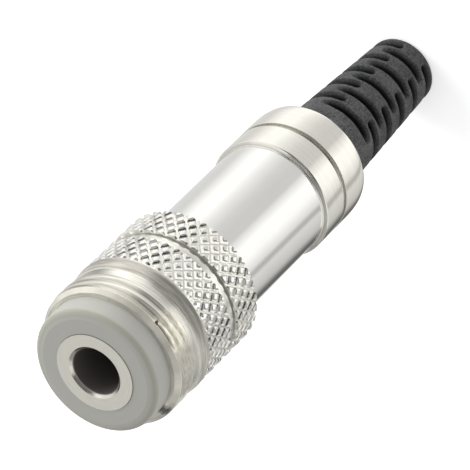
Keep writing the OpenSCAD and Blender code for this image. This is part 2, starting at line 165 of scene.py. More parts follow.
# %% A socket that Python can do sums with
class Wire:
    """An output socket. Operators add Math nodes, and node() adds any other kind."""

    def __init__(self, tree, socket=None):
        self.tree = tree
        self.socket = socket

    def node(self, kind, settings=None, inputs=None, out=0):
        """Add a node, set it up, feed its sockets and return one of its outputs."""
        made = self.tree.nodes.new(kind)
        for name, value in (settings or {}).items():
            if name == "stops":
                set_stops(made.color_ramp, value)
            else:
                setattr(made, name, value)
        for name, value in (inputs or {}).items():
            feed(made.inputs[name], value)
        return Wire(self.tree, made.outputs[out])

    def math(self, operation, *values):
        """Add one Math node."""
        return self.node("ShaderNodeMath", {"operation": operation}, dict(enumerate(values)))

    def __add__(self, other):
        return self.math("ADD", self, other)

    def __radd__(self, other):
        return self.math("ADD", other, self)

    def __sub__(self, other):
        return self.math("SUBTRACT", self, other)

    def __rsub__(self, other):
        return self.math("SUBTRACT", other, self)

    def __mul__(self, other):
        return self.math("MULTIPLY", self, other)

    def __rmul__(self, other):
        return self.math("MULTIPLY", other, self)

    def __truediv__(self, other):
        return self.math("DIVIDE", self, other)

    def __rtruediv__(self, other):
        return self.math("DIVIDE", other, self)


print("sockets can do sums")


# %% Feed a socket and set a ramp
def feed(socket, value):
    """Link a wire to a socket, or write a plain value on it."""
    if isinstance(value, Wire):
        socket.id_data.links.new(value.socket, socket)
    else:
        socket.default_value = value


def set_stops(ramp, stops):
    """Write the stops of a colour ramp: (place, colour) pairs in order."""
    while len(ramp.elements) > 1:
        ramp.elements.remove(ramp.elements[-1])
    for number, (place, colour) in enumerate(stops):
        stop = ramp.elements[0] if number == 0 else ramp.elements.new(place)
        stop.position = place
        stop.color = (*colour, 1)


print("sockets can be fed")


# %% Places on the part
def start_finish(name):
    """A new material: its wire for adding nodes, and its shader."""
    material = bpy.data.materials.new(name)
    material.use_nodes = True
    return material, Wire(material.node_tree), material.node_tree.nodes["Principled BSDF"]


def place_mm(wire):
    """The place on the part, in millimetres."""
    spot = wire.node("ShaderNodeTexCoord", out="Object")
    return wire.node("ShaderNodeVectorMath", {"operation": "SCALE"}, {0: spot, "Scale": 1 / MM})


def split(place):
    """The three numbers of a place."""
    made = place.node("ShaderNodeSeparateXYZ", inputs={"Vector": place})
    return [Wire(place.tree, socket) for socket in made.socket.node.outputs]


def radius_of(place):
    """Distance from the plug axis."""
    flat = place.node("ShaderNodeVectorMath", {"operation": "MULTIPLY"}, {0: place, 1: (1, 1, 0)})
    return place.node("ShaderNodeVectorMath", {"operation": "LENGTH"}, {0: flat}, out="Value")


print("places are measured in millimetres")


# %% Patterns and masks that several finishes share
def noise(place, scale, detail=2.0, roughness=0.5):
    """Soft three-way noise from 0 to 1, with scale in waves for each millimetre."""
    inputs = {"Vector": place, "Scale": scale, "Detail": detail, "Roughness": roughness}
    return place.node("ShaderNodeTexNoise", {}, inputs)


def tool_marks(place, across=11.0, around=2.0):
    """Noise drawn out round the axis, as a lathe tool leaves it: fine across, long round the turn."""
    x, y, level = split(place)
    away = radius_of(place)
    spot = {"X": around * x / away, "Y": around * y / away, "Z": across * (away + level)}
    return noise(place.node("ShaderNodeCombineXYZ", inputs=spot), 1.0, detail=3.0)


def between(value, low, high):
    """0 below low, 1 above high and a soft ramp in between."""
    settings = {"interpolation_type": "SMOOTHSTEP"}
    return value.node("ShaderNodeMapRange", settings, {"Value": value, "From Min": low, "From Max": high})


def mix_colour(share, first, second):
    """A colour that goes from the first to the second."""
    settings = {"data_type": "RGBA"}
    return share.node("ShaderNodeMix", settings, {"Factor": share, 6: first, 7: second}, out=2)


def bump(height, distance_mm, strength=1.0):
    """A normal from a height between 0 and 1, over a real distance."""
    inputs = {"Height": height, "Distance": distance_mm * MM, "Strength": strength}
    return height.node("ShaderNodeBump", {}, inputs)


print("patterns ready")


# %% [markdown]
# ## The studio
#
# Bright metal has almost no colour of its own: it shows the room. So the room is built first. A white
# world gives soft light from all round, one soft lamp gives the light a side, and the floor is plain
# and pale. The world is full white to the camera and in reflections, and a little dimmer as a light,
# so a white background takes no more light on the part.

# %% World
SKY = 0.68
scene.view_settings.view_transform = "Standard"

world = bpy.data.worlds.new("studio")
world.use_nodes = True
scene.world = world
sky = Wire(world.node_tree)
ray = sky.node("ShaderNodeLightPath").socket.node.outputs
shown = Wire(world.node_tree, ray["Is Camera Ray"])
for kind in ("Is Glossy Ray", "Is Transmission Ray"):
    shown = sky.math("MAXIMUM", shown, Wire(world.node_tree, ray[kind]))
background = world.node_tree.nodes["Background"]
background.inputs["Color"].default_value = (1, 1, 1, 1)
feed(background.inputs["Strength"], SKY + (1 - SKY) * shown)
print("sky at", SKY)


# %% A soft lamp
def toward(turn, rise):
    """A direction by its turn from the near side, to the right, and its rise, both in degrees."""
    turn, rise = math.radians(turn), math.radians(rise)
    level = near_side * math.cos(turn) + right_side * math.sin(turn)
    return level * math.cos(rise) + Vector((0, 0, math.sin(rise)))


def aim(thing, spot, target):
    """Put a thing at a spot, with its -Z side to a target."""
    turn = (target - spot).to_track_quat("-Z", "Y")
    thing.matrix_world = Matrix.Translation(spot) @ turn.to_matrix().to_4x4()


LAMP_SIZE = 0.3
LAMP_POWER = 1.35
LAMP_AWAY = 0.4
lamp_side = toward(-97, 12)
middle = Vector((0, 0, face_level / 2))
lamp = bpy.data.lights.new("soft_lamp", "AREA")
lamp.shape = "DISK"
lamp.size = LAMP_SIZE
lamp.energy = LAMP_POWER
lamp_object = bpy.data.objects.new("soft_lamp", lamp)
aim(lamp_object, middle + lamp_side * LAMP_AWAY, middle)
lamp_object.visible_glossy = False
scene.collection.objects.link(lamp_object)
print("lamp of", LAMP_POWER, "W")


# %% Floor
def disc(name, radius, level, sides=96):
    """A flat round sheet, facing up."""
    turns = [2 * math.pi * k / sides for k in range(sides)]
    mesh = bpy.data.meshes.new(name)
    mesh.from_pydata([(radius * math.cos(t), radius * math.sin(t), 0) for t in turns], [], [range(sides)])
    sheet = bpy.data.objects.new(name, mesh)
    sheet.location.z = level
    scene.collection.objects.link(sheet)
    return sheet


FLOOR_R = 2.0
FLOOR_GLOW = 0.42
floor = disc("floor", FLOOR_R, 0)
floor_paint, wire, shader = start_finish("floor_paint")
feed(shader.inputs["Base Color"], (0.93, 0.93, 0.93, 1))
feed(shader.inputs["Roughness"], 0.9)
feed(shader.inputs["Specular IOR Level"], 0.0)
feed(shader.inputs["Emission Color"], (1, 1, 1, 1))
feed(shader.inputs["Emission Strength"], FLOOR_GLOW)
floor.data.materials.append(floor_paint)
print("floor ready")


# %% [markdown]
# ## A tent for the reflections
#
# Round the part stands a tent that only reflections can see, as a photographer sets white and grey
# paper round polished metal. Four round sheets lie on its floor: a card, which the barrel shows, a hem
# and an apron, which the land and the thread show, and a skirt for the sides of the knurl. A wall in
# two heights lights the facets of the knurl and the lead-in of the bore, and a ceiling with a dark hole
# lights the front faces. Each sheet glows in strips that change with the turn about the axis. Painting
# bands on the barrel itself would look right from one side only; bands in the room slide over the metal
# as they should.

# %% Strips of light
# Turn from the near side in degrees, to the right, and the brightness of a strip there
CARD_STRIPS = [
    (-180, 0.80), (-120, 0.72), (-110, 0.75), (-92, 1.0), (-81, 1.15), (-62, 1.15), (-46, 0.91),
    (-28, 0.72), (-12, 0.66), (6, 0.66), (9.5, 0.80), (26, 1.16), (46, 1.1), (66, 0.80), (73, 0.48),
    (77, 0.50), (83, 0.74), (101, 0.64), (112, 0.56), (120, 0.38), (128, 0.18), (140, 0.10), (148, 0.3),
    (160, 0.9), (180, 0.85),
]
HEM_STRIPS = [
    (-180, 0.8), (-150, 0.6), (-137, 0.5), (-116, 0.34), (-104, 0.5), (-94, 0.8), (-80, 1.25),
    (-68, 1.25), (-54, 0.95), (-38, 0.82), (-20, 0.74), (-4, 0.56), (6, 0.6), (16, 1.0), (28, 1.25),
    (46, 1.2), (60, 0.8), (73, 0.42), (96, 0.46), (116, 0.35), (130, 0.25), (160, 0.6), (180, 0.8),
]
APRON_STRIPS = [
    (-180, 0.9), (-120, 0.55), (-75, 1.15), (-45, 1.0), (-25, 0.14), (45, 0.12), (70, 0.6), (92, 0.65),
    (150, 0.75), (180, 0.9),
]
SKIRT_STRIPS = [
    (-180, 0.7), (-142, 0.75), (-130, 0.9), (-106, 0.9), (-85, 0.7), (-60, 0.8), (-40, 0.75),
    (-25, 0.32), (40, 0.3), (60, 0.38), (86, 0.45), (98, 0.9), (126, 0.9), (140, 0.6), (180, 0.7),
]
LOW_WALL_STRIPS = [
    (-180, 0.7), (-140, 0.65), (-110, 0.95), (-85, 1.05), (-64, 1.05), (-47, 1.05), (-37, 0.3),
    (-29, 0.06), (-22, 0.06), (-12, 0.45), (2, 0.45), (10, 0.05), (27, 0.04), (36, 0.6), (52, 1.05),
    (92, 1.1), (101, 1.0), (108, 0.3), (140, 0.3), (180, 0.8),
]
HIGH_WALL_STRIPS = [
    (-180, 0.74), (-110, 0.65), (-84, 1.1), (-66, 1.0), (-56, 0.2), (-40, 0.08), (40, 0.08),
    (50, 0.12), (58, 0.8), (84, 0.9), (96, 0.45), (130, 0.4), (180, 0.7),
]
CEILING_STRIPS = [
    (-180, 0.6), (-122, 0.95), (-60, 0.9), (-40, 0.2), (60, 0.2), (127, 0.52), (180, 0.6),
]
HOLE_STRIPS = [(-180, 0.2), (180, 0.2)]
print("the card has", len(CARD_STRIPS), "stops")

# %% Sheets of the tent
TENT_GAIN = 1.25
TENT_TINT = (1.0, 0.995, 0.975)
TENT_R = 0.24
TENT_TOP = 0.3


def tent_light(name, strips):
    """A glowing finish whose brightness changes with the turn about the axis."""
    material, wire, shader = start_finish(name)
    x, y = split(place_mm(wire))[:2]
    around = 0.5 - wire.math("ARCTAN2", y, x) / (2 * math.pi)
    stops = []
    for turn, light in strips:
        stops.append((0.5 + turn / 360, [light / TENT_GAIN * tint for tint in TENT_TINT]))
    glow = around.node("ShaderNodeValToRGB", {"stops": stops}, {"Fac": around})
    feed(shader.inputs["Base Color"], (0, 0, 0, 1))
    feed(shader.inputs["Specular IOR Level"], 0.0)
    feed(shader.inputs["Emission Color"], glow)
    feed(shader.inputs["Emission Strength"], TENT_GAIN)
    return material


def hang(sheet, material):
    """Turn a sheet of the tent to the near side, and leave it to reflections alone."""
    sheet.rotation_euler.z = near_turn
    sheet.data.materials.append(material)
    sheet.visible_camera = False
    sheet.visible_diffuse = False
    sheet.visible_shadow = False
    sheet.visible_transmission = False


# Name, radius and level of each flat sheet, and its strips
FLAT_SHEETS = (
    ("card", 0.0405, 0.04 * MM, CARD_STRIPS),
    ("hem", 0.055, 0.035 * MM, HEM_STRIPS),
    ("apron", 0.09, 0.03 * MM, APRON_STRIPS),
    ("skirt", 0.25, 0.02 * MM, SKIRT_STRIPS),
    ("ceiling", TENT_R, TENT_TOP, CEILING_STRIPS),
)
for name, radius, level, strips in FLAT_SHEETS:
    hang(disc(f"tent_{name}", radius, level), tent_light(f"tent_{name}_light", strips))
HOLE_R = 0.07
HOLE_LEVEL = 0.299
hang(disc("tent_hole", HOLE_R, HOLE_LEVEL), tent_light("tent_hole_dark", HOLE_STRIPS))
print(len(FLAT_SHEETS) + 1, "flat sheets")


# %% The tent's wall
def wall(name, radius, low, high, sides=96):
    """A round standing wall."""
    turns = [2 * math.pi * k / sides for k in range(sides)]
    corners = [(radius * math.cos(t), radius * math.sin(t), z) for z in (low, high) for t in turns]
    faces = [(k, (k + 1) % sides, sides + (k + 1) % sides, sides + k) for k in range(sides)]
    mesh = bpy.data.meshes.new(name)
    mesh.from_pydata(corners, [], faces)
    sheet = bpy.data.objects.new(name, mesh)
    scene.collection.objects.link(sheet)
    return sheet


WALL_FOOT = 0.004
WALL_MIDDLE = 0.15
WALL_TOP = 0.298
low_wall = wall("tent_wall_low", TENT_R, WALL_FOOT, WALL_MIDDLE)
hang(low_wall, tent_light("tent_wall_low_light", LOW_WALL_STRIPS))
high_wall = wall("tent_wall_high", TENT_R, WALL_MIDDLE, WALL_TOP)
hang(high_wall, tent_light("tent_wall_high_light", HIGH_WALL_STRIPS))
print("tent wall ready")


# %% [markdown]
# ## Nickel plate
#
# All the bright metal is brass with nickel plate: a warm, slightly yellow silver. One function makes
# its finishes. Polished plate has a faint haze. Turned plate keeps the marks of the tool, which run
# round the axis: noise drawn out round the turn gives them on flat faces and on round walls alike. A
# knurl is rolled, so it is a little uneven and rougher in its grooves, and its grooves are painted
# darker as shade. Levels left as turned get a tinge, streaks and a matte share of their own, and dirt
# with painted shade lies over it all in the narrow grooves and gaps. The levels are real heights on
# the part, so no picture has to be wrapped round it.

# %% Bands and windows of levels
# A band left as turned: its levels and tinge, how high its lines stand, how much they vary the tinge,
# what it adds to the roughness and what it takes from the mirror
Turned = namedtuple("Turned", "low high tinge lines contrast rough matte")


def window(value, low, high, soft):
    """1 between two values and 0 outside them."""
    return between(value, low - soft, low + soft) * (1 - between(value, high - soft, high + soft))


print("a band has", Turned._fields)

# %% Nickel finishes
SOIL_AND_SHADE = (0.67, 0.66, 0.61)
KNURL_DEPTH = 0.2 * MM
# Heights in millimetres: the soft edge of a band and of the knurl, and the bump of the plate
BAND_EDGE = 0.04
KNURL_EDGE = 0.02
PLATE_BUMP = 0.004
knurl_root = knurl_tip - KNURL_DEPTH


def nickel(name, light, dull, smooth, tool_lines=0.0, knurl=None, soil_and_shade=(), turned_bands=()):
    """Plated metal: tints, roughness, tool lines, and its knurled, dirty and shaded, and freshly turned
    levels.

    A dirty and shaded level is (low, high, dust_and_shade), with its heights in millimetres: dirt and
    painted shade in narrow grooves and gaps.
    """
    material, wire, shader = start_finish(name)
    place = place_mm(wire)
    level = split(place)[2]
    haze = noise(place, 0.5, detail=4.0)
    grain = noise(place, 9.0)
    tint = haze
    rough = smooth + 0.05 * haze + 0.03 * grain
    height = 0.3 * grain
    turned = tool_marks(place)
    if tool_lines:
        height = height + tool_lines * turned
        tint = 0.3 * haze + 0.7 * turned
        rough = rough + 0.06 * turned
    if knurl:
        rolled = window(level, *knurl, KNURL_EDGE)
        # The knurl is painted darker towards its groove floor, as shade.
        depth = rolled * (1 - between(radius_of(place), knurl_root / MM, knurl_tip / MM))
        tint = (1 - rolled) * tint + rolled * (0.3 * haze + 0.4 * depth)
        rough = rough + 0.05 * depth - 0.05 * rolled
        height = height + 2.5 * rolled * noise(place, 5.0, detail=3.0)
    colour = mix_colour(tint, (*light, 1), (*dull, 1))
    metal = 1.0
    streaks = tool_marks(place, across=4.5) if turned_bands else None
    for turn in turned_bands:
        band = window(level, turn.low / MM, turn.high / MM, BAND_EDGE)
        height = height + turn.lines * band * streaks
        rough = rough + turn.rough * band
        metal = metal - turn.matte * band
        shares = 1 - turn.contrast, 1 + turn.contrast
        dim, lit = [(*(share * part for part in turn.tinge), 1) for share in shares]
        colour = mix_colour(band, colour, mix_colour(between(streaks, 0.3, 0.7), dim, lit))
    # Dirt and painted shade in narrow grooves and gaps: the soil colour, rougher and less metal.
    for low, high, dust_and_shade in soil_and_shade:
        dirt_and_shade = window(level, low, high, BAND_EDGE) * between(grain, 0.2, 0.5)
        colour = mix_colour(dirt_and_shade, colour, (*SOIL_AND_SHADE, 1))
        rough = rough + 0.2 * dirt_and_shade
        metal = metal - dust_and_shade * dirt_and_shade
    feed(shader.inputs["Metallic"], metal)
    feed(shader.inputs["Base Color"], colour)
    feed(shader.inputs["Roughness"], rough)
    feed(shader.inputs["Normal"], bump(height, PLATE_BUMP))
    return material


turned_nickel = nickel("turned_nickel", (0.86, 0.85, 0.79), (0.70, 0.68, 0.61), 0.15, tool_lines=2.0)
print("nickel:", turned_nickel.name)


# %% [markdown]
# ## Plastics and strip
#
# The collar is a moulded grey plastic with a satin skin, the carrier a dark one and the liner a milky
# one. One function makes all three: two sizes of noise, one for the moulded skin and one for clouds in
# the material, change colour, roughness and height together. The springs are bronze and the tags are
# tinned strip, which the nickel function gives with other tints.

# %% Moulded plastics
def moulded(name, light, dark, smooth, grain_scale, grain_height, gloss=0.5):
    """A moulded material with a fine skin: tints, roughness, and the scale and height of the skin."""
    material, wire, shader = start_finish(name)
    place = place_mm(wire)
    skin = noise(place, grain_scale, detail=4.0, roughness=0.6)
    cloud = noise(place, 0.7, detail=3.0)
    feed(shader.inputs["Base Color"], mix_colour(0.5 * skin + 0.5 * cloud, (*light, 1), (*dark, 1)))
    feed(shader.inputs["Roughness"], smooth + 0.12 * skin)
    feed(shader.inputs["Specular IOR Level"], gloss)
    feed(shader.inputs["Normal"], bump(skin, grain_height))
    return material


GREY = (0.435, 0.432, 0.398), (0.39, 0.387, 0.353)
DARK = (0.022, 0.018, 0.015), (0.012, 0.010, 0.009)
MILKY = (0.62, 0.63, 0.61), (0.54, 0.55, 0.53)
grey_plastic = moulded("grey_plastic", *GREY, smooth=0.38, grain_scale=6.0, grain_height=0.004, gloss=0.8)
dark_plastic = moulded("dark_plastic", *DARK, smooth=0.45, grain_scale=5.0, grain_height=0.006)
milky_plastic = moulded("milky_plastic", *MILKY, smooth=0.30, grain_scale=4.0, grain_height=0.004)
print("moulded finishes ready")

# %% Spring bronze and tinned strip
spring_bronze = nickel("spring_bronze", (0.80, 0.60, 0.36), (0.66, 0.47, 0.26), 0.24, tool_lines=0.6)
tinned_strip = nickel("tinned_strip", (0.80, 0.80, 0.79), (0.68, 0.68, 0.66), 0.28, tool_lines=0.4)
print("strip finishes ready")


# %% [markdown]
# ## Skins of revolution
#
# Every visible piece is round, so a skin is a stack of rings. A ring has a level and a radius for each
# of its points: one number for a plain ring, or a whole row where a knurl, a thread or a slot changes
# the radius on the way round. The rings run once round the section, from the inside wall up the
# outside and back, so the skin closes on itself like a real turned piece. The Screw modifier could
# sweep a profile too, but it can't vary the radius round the ring.

# %% Rings
SIDES = 432
# The largest share of a side that a fillet may take
FILLET_SHARE = 0.49
angles = np.arange(SIDES) * 2 * np.pi / SIDES


def ring(radius, level):
    """A ring of points: its level and its radius, as one number or a row of them."""
    return level, np.broadcast_to(np.asarray(radius, float), (SIDES,))


def rounded(corners, steps=4):
    """Rings along a section of (radius, level, fillet) corners, with each corner rounded by its fillet."""
    points = []
    for number, (r, z, fillet) in enumerate(corners):
        here = np.array((r, z))
        if fillet == 0 or number in (0, len(corners) - 1):
            points.append(here)
            continue
        back = np.array(corners[number - 1][:2]) - here
        ahead = np.array(corners[number + 1][:2]) - here
        shorter = min(np.linalg.norm(back), np.linalg.norm(ahead))
        cut = min(fillet, FILLET_SHARE * shorter)
        enter = here + back / np.linalg.norm(back) * cut
        leave = here + ahead / np.linalg.norm(ahead) * cut
        for share in np.linspace(0, 1, steps + 1):
            points.append((1 - share) ** 2 * enter + 2 * share * (1 - share) * here + share ** 2 * leave)
    return [ring(r, z) for r, z in points]


def round_end(radius, drop, low, high, steps):
    """Rings of a rounded end, from its tip at the low level to the straight wall at the high one."""
    made = []
    for share in np.linspace(1, 0, steps + 1):
        inward = drop * (1 - math.sqrt(1 - share * share))
        made.append(ring(radius - inward, high - (high - low) * share))
    return made


print(SIDES, "points in a ring")

# %% Skins
SHARP = math.radians(32)


def skin(name, rings, material, node, slot):
    """Join rings into one closed piece, and let it stand for a solid."""
    count = len(rings)
    levels = np.array([level for level, row in rings])
    radii = np.array([row for level, row in rings])
    heights = np.repeat(levels[:, None], SIDES, 1)
    points = np.stack([radii * np.cos(angles), radii * np.sin(angles), heights], 2)
    here = np.arange(SIDES)
    beside = (here + 1) % SIDES
    faces = []
    for low in range(count):
        high = (low + 1) % count
        corners = low * SIDES + here, low * SIDES + beside, high * SIDES + beside, high * SIDES + here
        faces.append(np.stack(corners, 1))
    mesh = bpy.data.meshes.new(name)
    mesh.from_pydata(points.reshape(-1, 3), [], np.concatenate(faces))
    mesh.shade_smooth()
    mesh.set_sharp_from_angle(angle=SHARP)
    mesh.materials.append(material)
    piece = bpy.data.objects.new(name, mesh)
    scene.collection.objects.link(piece)
    even = piece.modifiers.new("even_normals", "WEIGHTED_NORMAL")
    even.keep_sharp = True
    body = frame["nodes"][node]["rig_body"]
    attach(piece, body)
    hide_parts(node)
    print(f"{name}: {count} rings, {len(mesh.polygons)} faces, rides on {body}")


print("skins ready")


# %% [markdown]
# ## The diamond knurl
#
# A knurling tool rolls two sets of slanting grooves over each other, and what is left between them is
# a field of four-sided diamonds with flat tops. The height is the smaller of two triangle waves, one
# for each set of grooves, cut off where the flats begin. The grid has six steps to each half diamond,
# so its lines and diagonals fall on the ridges and valleys. At a smooth land the grooves run out over a
# short way, and a little sooner on one side, as wheels that were set by hand leave them.

# %% Rings of a knurl
KNURL_DIAMONDS = 36
KNURL_STEPS = 6
KNURL_FLAT = 0.45
HALF_ROW = 0.62 * MM
KNURL_RUN_OUT = 0.12 * MM


def smooth_step(x):
    """0 to 1 with soft ends."""
    x = np.clip(x, 0, 1)
    return x * x * (3 - 2 * x)


def triangle_wave(x):
    """1 at whole numbers and 0 half-way between them."""
    return 1 - 2 * np.abs(x - np.round(x))


def knurl_rings(low, high, fade=math.inf):
    """Rings of a knurled band between two levels; its grooves run out at the levels in fade."""
    made = []
    for step in range(int((high - low) / HALF_ROW * KNURL_STEPS) + 1):
        along = step / (2 * KNURL_STEPS)
        round_it = angles * KNURL_DIAMONDS / (2 * np.pi)
        height = np.minimum(triangle_wave(round_it + along), triangle_wave(round_it - along))
        height = np.minimum(height / KNURL_FLAT, 1)
        level = low + HALF_ROW * step / KNURL_STEPS
        groove = KNURL_DEPTH * smooth_step((fade - level) / KNURL_RUN_OUT)
        made.append(ring(knurl_tip - groove * (1 - height), level))
    return made


print("knurl rings ready")


# %% [markdown]
# ## The threaded nose
#
# The nose carries the plug's locking thread, 11 mm by 0.75 mm, then a shallow relief, a smooth land and
# the knurl. A thread is a ridge that climbs by one pitch in each turn, so the height at a point depends
# on its level less its share of a turn. The front is chamfered, and the ridge starts with a nick and a
# thin cut where the tool went in. The thread that the shell runs on, at the back, is made the same way.
# Fine rings are enough here: a helical sweep would need its ends trimmed.

# %% Where the thread starts and where it is worn
PITCH = 0.75 * MM
THREAD_DEPTH = 0.075 * MM
NOSE_CHAMFER = 0.35 * MM
FIRST_CREST = 0.28 * MM
# The thin cut where the tool went in, with its length and fade as shares of a turn
START_DEG = 5
RUN_IN_DROP = 0.34 * MM
RUN_IN_DEPTH = 0.16 * MM
RUN_IN_WIDTH = 0.1 * MM
RUN_IN_TURN = 0.09
RUN_IN_FADE = 0.05
NICK_WIDTH = 0.3 * MM
NICK_TURN = 0.008
# The share of the ridge that is worn off on one side, and the cosine of the turn where that begins
WEAR = 0.72
FLAT_EDGE = 0.80
FLAT_SOFT = 0.08
flat_side = toward(42, 0)
start_turn = near_turn - math.radians(START_DEG)
behind = (start_turn - angles) / (2 * np.pi) % 1
print("thread pitch", PITCH / MM, "mm")

# %% Rings of the thread
THREAD_RING = 0.03 * MM
SCREW_DEPTH = 0.16 * MM


def ridge_height(turns):
    """Height of a soft ridge: 1 at whole turns and 0 half-way between them."""
    return 1 - smooth_step(2 * np.abs(turns - np.round(turns)))


def thread_rings(low, high, crest):
    """Rings of the locking thread between two levels, chamfered at the top."""
    run_in = smooth_step((RUN_IN_TURN - behind) / RUN_IN_FADE)
    near_flat = flat_side.x * np.cos(angles) + flat_side.y * np.sin(angles)
    ridge = THREAD_DEPTH * (1 - WEAR * smooth_step((near_flat - FLAT_EDGE) / FLAT_SOFT))
    run_in_width = RUN_IN_WIDTH + NICK_WIDTH * smooth_step(1 - behind / NICK_TURN)
    made = []
    for level in np.linspace(low, high, round((high - low) / THREAD_RING) + 1):
        turns_down = (high - FIRST_CREST - level) / PITCH - behind
        height = ridge_height(turns_down)
        height[np.round(turns_down) < 0] = 0
        cut = run_in * smooth_step(1 - abs(high - RUN_IN_DROP - level) / run_in_width)
        radius = crest - ridge * (1 - height) - RUN_IN_DEPTH * cut
        made.append(ring(np.minimum(radius, crest - NOSE_CHAMFER + (high - level)), level))
    return made


def screw_rings(low, high, crest):
    """Rings of the thread that the shell runs on, between two levels."""
    made = []
    for level in np.linspace(low, high, round((high - low) / THREAD_RING) + 1):
        groove = SCREW_DEPTH * (1 - ridge_height((high - level) / PITCH - behind))
        made.append(ring(crest - groove, level))
    return made


print("thread rings every", THREAD_RING / MM, "mm")

# %% Levels and radii of the nose
NOSE_R = 5.5 * MM
RELIEF_R = 5.38 * MM
SEAT_R = 4.05 * MM
WEB_R = 3.2 * MM
CAVITY_R = 3.72 * MM
SCREW_R = 4.42 * MM
STOP_R = 5.05 * MM
RIM_REAR = 5.32 * MM
RIM_FRONT = 5.40 * MM
STOP_GAP = 0.02 * MM
PARTING_GAP = 0.14 * MM
RIM_LEN = 0.74 * MM
KNURL_LEN = 2.95 * MM
LAND_LEN = 1.0 * MM
RELIEF_LEN = 0.82 * MM
SEAT_DEPTH = 1.4 * MM
WEB_LEN = 1.1 * MM
screw_end = foot("nose_body")
stop_level = shell_front + STOP_GAP
nose_rear = shell_front + PARTING_GAP
knurl_low = nose_rear + RIM_LEN
land_level = knurl_low + KNURL_LEN
flange = land_level + LAND_LEN
thread_low = flange + RELIEF_LEN
chamfer_level = nose_front - NOSE_CHAMFER
seat_level = nose_front - SEAT_DEPTH
web_level = seat_level - WEB_LEN
print(f"thread from {thread_low / MM:.2f} to {nose_front / MM:.2f} mm")

# %% Rings of the nose
SCREW_LEAD = 0.12 * MM
RIM_FILLET = 0.12 * MM
FLANGE_FILLET = 0.05 * MM
CORNER_FILLET = 0.04 * MM
# The land narrows towards the front, and a ring early on it keeps its light even
LAND_TAPER = 0.12 * MM
EARLY = 0.05
# The knurl runs out sooner on one side
FADE_SWAY = 0.09 * MM
FADE_DEG = 130
knurl_fade = land_level - FADE_SWAY * (1 - np.cos(angles - start_turn + math.radians(FADE_DEG)))

nose_rings = [ring(CAVITY_R, screw_end), ring(SCREW_R - SCREW_DEPTH, screw_end)]
nose_rings += screw_rings(screw_end + SCREW_LEAD, stop_level - SCREW_LEAD, SCREW_R)
nose_rings += rounded([
    (SCREW_R - SCREW_DEPTH, stop_level, 0),
    (STOP_R, stop_level, CORNER_FILLET),
    (STOP_R, nose_rear, 0),
    (RIM_REAR, nose_rear, RIM_FILLET),
    (RIM_FRONT, knurl_low, 0),
])
nose_rings += knurl_rings(knurl_low, land_level, knurl_fade)
nose_rings += rounded([
    (land_r, land_level, 0),
    (land_r - EARLY * LAND_TAPER, land_level + EARLY * LAND_LEN, 0),
    (land_r - LAND_TAPER, flange, FLANGE_FILLET),
    (RELIEF_R, flange, CORNER_FILLET),
    (RELIEF_R, thread_low, 0),
])
nose_rings += thread_rings(thread_low, nose_front, NOSE_R)
nose_rings += rounded([
    (SEAT_R, nose_front, 0),
    (SEAT_R, seat_level, 0),
    (WEB_R, seat_level, 0),
    (WEB_R, web_level, 0),
    (CAVITY_R, web_level, 0),
])
print(len(nose_rings), "rings in the nose")

# %% Plate of the nose
# How far the land's band reaches over the knurl, and the chamfer's band past the front
LAND_REACH = 0.1 * MM
FACE_REACH = 0.05 * MM
nose_nickel = nickel(
    "nose_nickel", (0.98, 0.97, 0.935), (0.90, 0.885, 0.84), 0.05, tool_lines=1.0,
    knurl=(knurl_low / MM, land_level / MM),
    # Painted shade, with some dirt, in the parting gap to the shell.
    soil_and_shade=[(stop_level / MM - 0.1, nose_rear / MM + 0.02, 0.5)],
    turned_bands=[
        Turned(nose_rear, knurl_low, (0.87, 0.855, 0.80), 1.0, 0.06, 0.03, 0.0),
        Turned(land_level - LAND_REACH, flange, (0.63, 0.605, 0.55), 3.0, 0.25, 0.12, 0.2),
        Turned(flange, thread_low, (0.95, 0.93, 0.87), 1.2, 0.08, 0.05, 0.0),
        Turned(thread_low, chamfer_level, (0.95, 0.93, 0.86), 1.5, 0.09, 0.09, 0.0),
        Turned(chamfer_level, nose_front + FACE_REACH, (0.66, 0.64, 0.565), 3.0, 0.25, 0.12, 0.65),
    ],
)
print("plate:", nose_nickel.name)


# %% [markdown]
# ## Wear and painted shade on the thread
#
# Where the tool went in, the plate is scuffed: paler, yellower and less like a mirror, and the thin cut
# there is painted dark as shade. Further round, the ridges are worn nearly flat and matte. The grooves
# are painted darker than the crests all round, as shade, and a fleck of painted shadow sits on the
# chamfer by the collar. Each place is a cosine of the turn from its middle, with noise where its edge is
# ragged, times a window of levels. All of it is mixed over the finished nickel, so the function for
# nickel stays plain.

# %% The worn side and the shaded grooves
RELIEF_SHARE = 0.2


def finish_of(material):
    """The shader of a finish, and the wire of its colour for mixing more over it."""
    shader = material.node_tree.nodes["Principled BSDF"]
    return shader, Wire(material.node_tree, shader.inputs["Base Color"].links[0].from_socket)


def facing(place, side):
    """Cosine of the turn between a place and a side of the part."""
    x, y = split(place)[:2]
    return (side.x * x + side.y * y) / radius_of(place)


shader, plated = finish_of(nose_nickel)
metal = Wire(nose_nickel.node_tree, shader.inputs["Metallic"].links[0].from_socket)
place = place_mm(plated)
level = split(place)[2]
away = radius_of(place)
on_thread = window(level, thread_low / MM, chamfer_level / MM, BAND_EDGE)
on_relief = window(level, flange / MM, thread_low / MM, BAND_EDGE)
# Painted shade: the thread's grooves are darker than its crests at every turn.
valley_shade = on_thread * (1 - between(away, (NOSE_R - THREAD_DEPTH) / MM, NOSE_R / MM))
near_flat = between(facing(place, flat_side), FLAT_EDGE, FLAT_EDGE + FLAT_SOFT)
flat = (on_thread + RELIEF_SHARE * on_relief) * near_flat
print("worn side and grooves marked")
